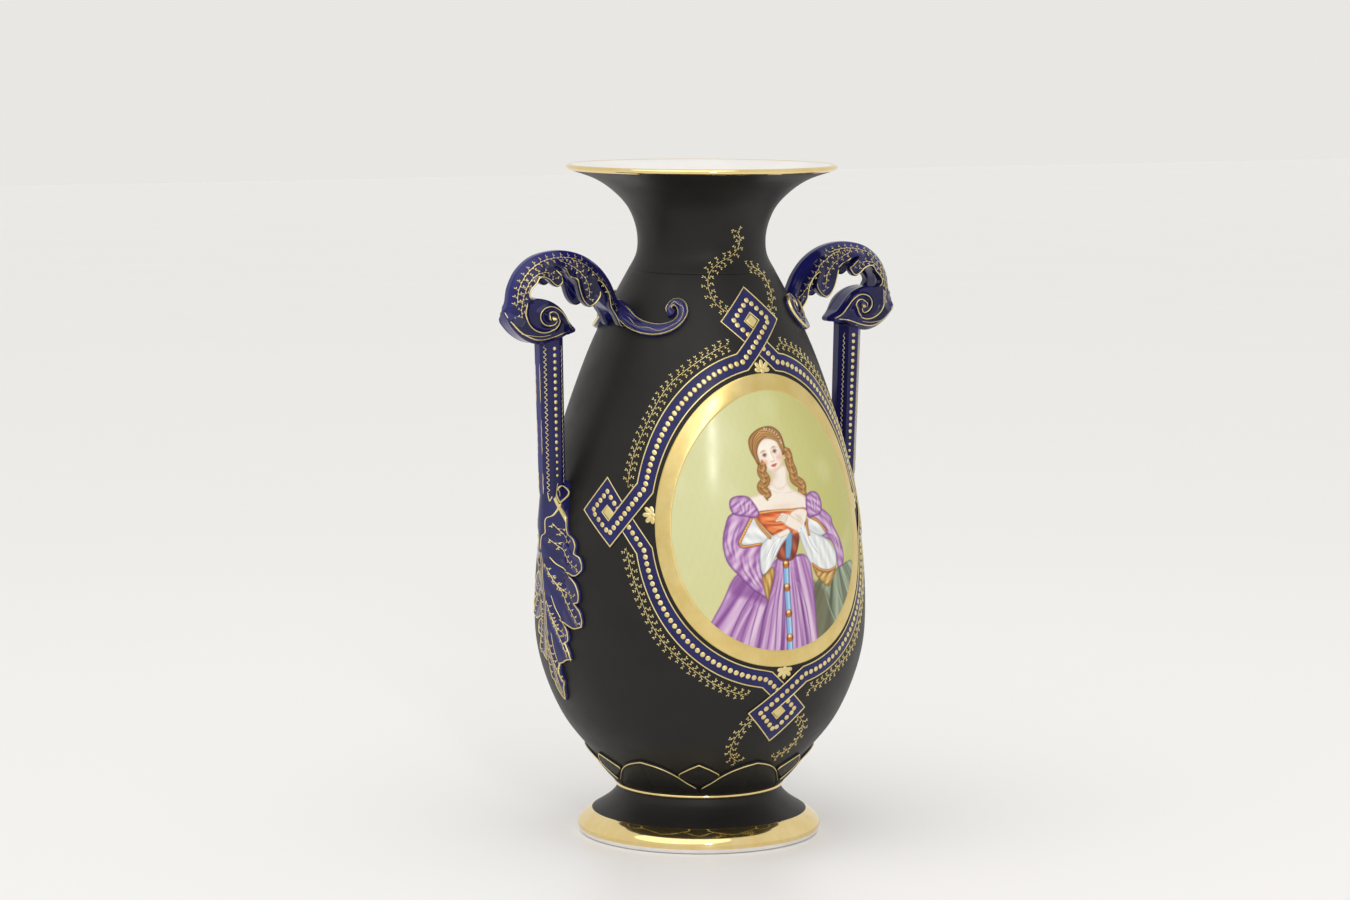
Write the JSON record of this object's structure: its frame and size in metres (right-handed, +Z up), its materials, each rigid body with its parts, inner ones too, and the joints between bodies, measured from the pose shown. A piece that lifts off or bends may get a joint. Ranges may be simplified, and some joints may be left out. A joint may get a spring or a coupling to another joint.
{
  "type": "porcelain vase",
  "caption": "Ovoid porcelain vase on a flared foot, with trumpet neck, scroll handles with acanthus leaves, and a painted oval medallion in a gold frame.",
  "frame": {"origin": "centre of the foot's resting ring, on the surface that the vase stands on", "axes": "+Z up along the vase's axis; X through the two handles; the painted medallion faces -Y"},
  "size_m": [0.298, 0.2226, 0.45],
  "materials": {
    "black_glaze": "eggshell matte black enamel over glaze",
    "cobalt_glaze": "glossy cobalt blue glaze",
    "white_porcelain": "clear glazed hard-paste porcelain",
    "gilding": "burnished gold leaf, finely scratched",
    "painted_enamel": "hand-painted overglaze enamels, glossy"
  },
  "bodies": {
    "root": {"body": "black_glaze", "neck": "black_glaze", "foot": "black_glaze", "calyx_petal_1": "black_glaze", "calyx_tip_1": "black_glaze", "calyx_petal_2": "black_glaze", "calyx_tip_2": "black_glaze", "calyx_petal_3": "black_glaze", "calyx_tip_3": "black_glaze", "calyx_petal_4": "black_glaze", "calyx_tip_4": "black_glaze", "calyx_petal_5": "black_glaze", "calyx_tip_5": "black_glaze", "calyx_petal_6": "black_glaze", "calyx_tip_6": "black_glaze", "handle_right_arm": "cobalt_glaze", "handle_right_volute": "cobalt_glaze", "handle_right_stem": "cobalt_glaze", "handle_right_leaf": "cobalt_glaze", "handle_right_tendril_front": "cobalt_glaze", "handle_right_tendril_back": "cobalt_glaze", "handle_left_arm": "cobalt_glaze", "handle_left_volute": "cobalt_glaze", "handle_left_stem": "cobalt_glaze", "handle_left_leaf": "cobalt_glaze", "handle_left_tendril_front": "cobalt_glaze", "handle_left_tendril_back": "cobalt_glaze"}
  },
  "joints": []
}
